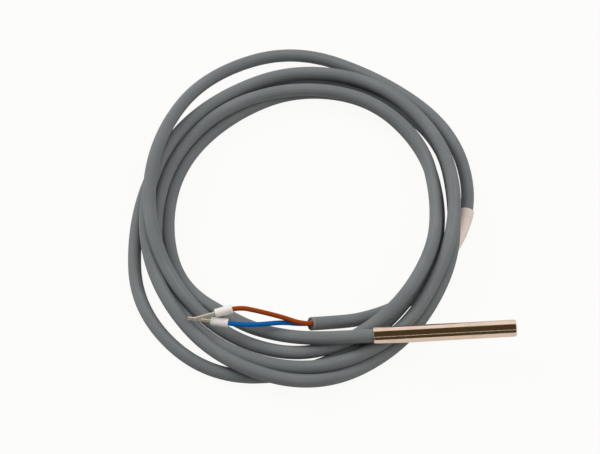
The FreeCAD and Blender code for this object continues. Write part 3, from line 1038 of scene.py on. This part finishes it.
def strand_tree():
    inputs = {
        "Wires": "Int",
        "Wire Radius": "Float",
        "Bundle Radius": "Float",
        "Length": "Float",
        "Shortest": "Float",
        "Finish": "Material",
    }
    graph, given = new_tree("bundle of wires", inputs)
    wires = given["Wires"]
    index = graph.node("GeometryNodeInputIndex")
    angle = index * SUNFLOWER_ANGLE
    distance = ((index + 0.5) / wires) ** 0.5 * given["Bundle Radius"]
    x = distance * graph.node("ShaderNodeMath", {"operation": "COSINE"}, {0: angle})
    y = distance * graph.node("ShaderNodeMath", {"operation": "SINE"}, {0: angle})
    place = graph.node("ShaderNodeCombineXYZ", sockets={"X": x, "Y": y})
    points = graph.node("GeometryNodePoints", sockets={"Count": wires, "Position": place})

    sockets = {"Vertices": WIRE_SIDES, "Radius": given["Wire Radius"], "Depth": given["Length"]}
    wire = graph.node("GeometryNodeMeshCylinder", sockets=sockets)
    half = graph.node("ShaderNodeCombineXYZ", sockets={"Z": given["Length"] * 0.5})
    wire = graph.node("GeometryNodeTransform", sockets={"Geometry": wire, "Translation": half})
    # The Random Value node has its lowest and highest number in sockets 2 and 3.
    sockets = {2: given["Shortest"], 3: 1.0, "Seed": BLADE_SEED}
    stretch = graph.node("FunctionNodeRandomValue", {"data_type": "FLOAT"}, sockets, out=1)
    size = graph.node("ShaderNodeCombineXYZ", sockets={"X": 1.0, "Y": 1.0, "Z": stretch})
    sockets = {"Points": points, "Instance": wire, "Scale": size}
    bundle = graph.node("GeometryNodeInstanceOnPoints", sockets=sockets)
    return end_tree(graph, bundle, given["Finish"])


strand_nodes = strand_tree()
print("strand tree:", len(strand_nodes.nodes), "nodes")

# %% [markdown]
# The tree makes an upright bundle at the origin. Each bundle is turned and moved into its ferrule in
# its mesh, so that the piece itself stays at the origin as the solids do.

# %% Copper strands
STRAND_END = 0.4 * MM
strand_length = COLLAR_LENGTH + BARREL_LENGTH + STRAND_END - CORE_SEAT * MM
sizes = {
    "Wires": 16,
    "Wire Radius": 0.085 * MM,
    "Bundle Radius": 0.4 * MM,
    "Length": strand_length,
    "Shortest": 1 - STRAND_END / strand_length,
    "Finish": copper,
}
strands = {}
for colour, core in CORES.items():
    piece = grown(f"strands_{colour}_wires", strand_nodes, sizes)
    start = MOUTH + core["ferrule"] + core["along"] * CORE_SEAT
    facing = core["along"].to_track_quat("Z", "Y").to_matrix().to_4x4()
    piece.data.transform(Matrix.Translation(start * MM) @ facing)
    strands[colour] = piece
    print(piece.name, len(piece.data.polygons), "faces")

# %% [markdown]
# ## The label
# The label sits on a short stretch of the cable's own line. The stretch is found from the label's
# middle and cut to the label's length.

# %% The stretch under the label
LABEL_MIDDLE = Vector((-13.5, 44.7, -10.5)) * MM
LABEL_LENGTH = 20 * MM


def stretch_of(line, middle, length):
    """The piece of a line within half a length of its nearest point to a place."""
    nearest = min(range(len(line)), key=lambda i: (line[i] - middle).length)
    first = nearest
    last = nearest
    while line_length(line[first:nearest + 1]) < length / 2:
        first -= 1
    while line_length(line[nearest:last + 1]) < length / 2:
        last += 1
    stretch = line[first:last + 1]
    halves = {0: line[first:nearest + 1], -1: line[last:nearest - 1:-1]}
    for end, half in halves.items():
        spare = line_length(half) - length / 2
        stretch[end] = half[0] + spare * (half[1] - half[0]).normalized()
    return stretch


label_line = stretch_of(cable_line, LABEL_MIDDLE, LABEL_LENGTH)
print(f"label's stretch: {line_length(label_line) / MM:.1f} mm")

# %% [markdown]
# The label is a strip of tape that goes once round the cable and a little over itself, so its cross
# section is a spiral. A Curve to Mesh node could sweep it, but one corner of the free edge has come
# loose and the section changes along the way, so a loop writes its points.

# %% Wrap label
TAPE = 0.05 * MM
TAPE_GAP = 0.02 * MM
# Where the tape starts and how far it goes round, in degrees.
WRAP_START = 130
WRAP_DEGREES = 415
WRAP_STEPS = 64
# Tape thicknesses by which the spiral grows in one turn, so that the free edge clears the layer below.
SPIRAL_GROWTH = 1.3
# How far the loose corner stands off, and how quickly that dies away across and along the tape.
LOOSE = 0.35 * MM
LOOSE_ACROSS = 12
LOOSE_ALONG = 3


def tape_points(line, radius):
    """A wound tape's points: for each point of the line, its inner face and then its outer face."""
    points = []
    for i, centre in enumerate(line):
        along = (line[min(i + 1, len(line) - 1)] - line[max(i - 1, 0)]).normalized()
        side = along.cross(upright).normalized()
        above = side.cross(along)
        loose = LOOSE * (1 - i / (len(line) - 1)) ** LOOSE_ALONG
        for layer in (0, 1):
            for step in range(WRAP_STEPS + 1):
                share = step / WRAP_STEPS
                angle = math.radians(WRAP_START + WRAP_DEGREES * share)
                layers = layer + SPIRAL_GROWTH * WRAP_DEGREES / 360 * share
                out = radius + TAPE * layers + loose * share**LOOSE_ACROSS
                points.append(centre + out * (math.cos(angle) * side + math.sin(angle) * above))
    return points


def tape_faces(sections):
    """The faces between a wound tape's cross sections, and over the first and the last of them."""
    row = WRAP_STEPS + 1
    ring = 2 * row
    loop = list(range(row)) + list(range(ring - 1, row - 1, -1))
    faces = []
    for i in range(sections - 1):
        for a, b in zip(loop, loop[1:] + loop[:1]):
            faces.append((i * ring + a, i * ring + b, (i + 1) * ring + b, (i + 1) * ring + a))
    for first in (0, (sections - 1) * ring):
        for k in range(first, first + WRAP_STEPS):
            faces.append((k, k + 1, k + row + 1, k + row))
    return faces


def wrapped_tape(name, line, radius, material):
    """A strip of tape wound round a line, with its free edge lying on itself."""
    piece = new_mesh_object(name, tape_points(line, radius), tape_faces(len(line)), material)
    shape = bmesh.new()
    shape.from_mesh(piece.data)
    bmesh.ops.recalc_face_normals(shape, faces=shape.faces)
    shape.to_mesh(piece.data)
    shape.free()
    smooth(piece.data)
    return piece


label = wrapped_tape("wrap_label", label_line, JACKET_R + TAPE_GAP, paper)
lowest = min(vertex.co.z for vertex in label.data.vertices) - FLOOR_Z
print(f"label: {len(label.data.polygons)} faces, {lowest / MM:.2f} mm above the floor")

# %% [markdown]
# ## Pieces that stay as solids
# The sleeve, everything inside it and the collars have their true shape already. They only get
# their finish here. The inner pieces are out of sight, but they show when the sleeve is taken off.


# %% Finishes for the inner pieces
def speckled(name, first, second, scale, roughness, metallic=0.0):
    """A plain finish with specks of two colours."""
    finish = Finish(name)
    specks = finish.noise(finish.place(), scale, detail=4.0)
    return finish.close(
        {
            "Base Color": finish.blend(specks, first, second),
            "Metallic": metallic,
            "Roughness": roughness + 0.2 * specks,
            "Normal": finish.bump(specks, distance=0.02 * MM),
        }
    )


resin = speckled("potting resin", (0.018, 0.018, 0.02), (0.035, 0.035, 0.037), scale=400.0, roughness=0.3)
tubing = speckled("insulating tubing", (0.3, 0.17, 0.03), (0.42, 0.26, 0.06), scale=1200.0, roughness=0.25)
alumina = speckled("alumina chip", (0.78, 0.77, 0.73), (0.66, 0.65, 0.6), scale=6000.0, roughness=0.5)
glass_drop = speckled("fired glass drop", (0.45, 0.5, 0.46), (0.6, 0.64, 0.6), scale=5000.0, roughness=0.12)
nickel = speckled(
    "plated lead wire",
    (0.68, 0.65, 0.6),
    (0.55, 0.52, 0.48),
    scale=3000.0,
    roughness=0.2,
    metallic=1.0,
)
print("inner finishes ready")

# %% [markdown]
# Most of the inner pieces come in pairs, one for each core, so a loop names them by colour.

# %% Give the solids their finish
SOLID_FINISHES = {
    "probe_sleeve": steel,
    "potting": resin,
    "sensor_chip": alumina,
    "chip_glaze": glass_drop,
    "jacket_entry": jacket,
}
for colour in CORES:
    SOLID_FINISHES[f"element_lead_{colour}"] = nickel
    SOLID_FINISHES[f"splice_{colour}"] = tinned
    SOLID_FINISHES[f"splice_tubing_{colour}"] = tubing
    SOLID_FINISHES[f"sensor_core_{colour}"] = core_finishes[colour]
    SOLID_FINISHES[f"sensor_conductor_{colour}"] = copper
    SOLID_FINISHES[f"collar_{colour}"] = collar_plastic
for node, finish in SOLID_FINISHES.items():
    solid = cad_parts[node]
    solid.data.materials.clear()
    solid.data.materials.append(finish)
print(len(SOLID_FINISHES), "solids finished")

# %% [markdown]
# ## What each piece stands for
# Every new piece rides on the one body of this object. A piece that shows the same thing as a solid
# takes the solid's place.

# %% Ride and replace
PIECES = [
    # piece, finish slot, solids that it stands for
    (cable, "jacket", ["cable_lead", "cable_coil", "cable_tail"]),
    (jacket_end, "jacket", []),
    (label, "label", ["cable_label"]),
]
for colour in CORES:
    PIECES.append((cores[colour], f"{colour}_insulation", [f"core_{colour}"]))
    PIECES.append((barrels[colour], "tin", [f"barrel_{colour}"]))
    PIECES.append((strands[colour], "copper", [f"strands_{colour}"]))
for piece, slot, nodes in PIECES:
    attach(piece, "root")
    if nodes:
        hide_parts(*nodes)
print(len(PIECES), "pieces placed")

# %% [markdown]
# The cable and its cores bend. The loop below works out the length of each core's line, rounded to a
# tenth of a millimetre.

for colour, line in core_lines.items():
    round(line_length(line), 4)
print("cords declared:", 1 + len(core_lines))
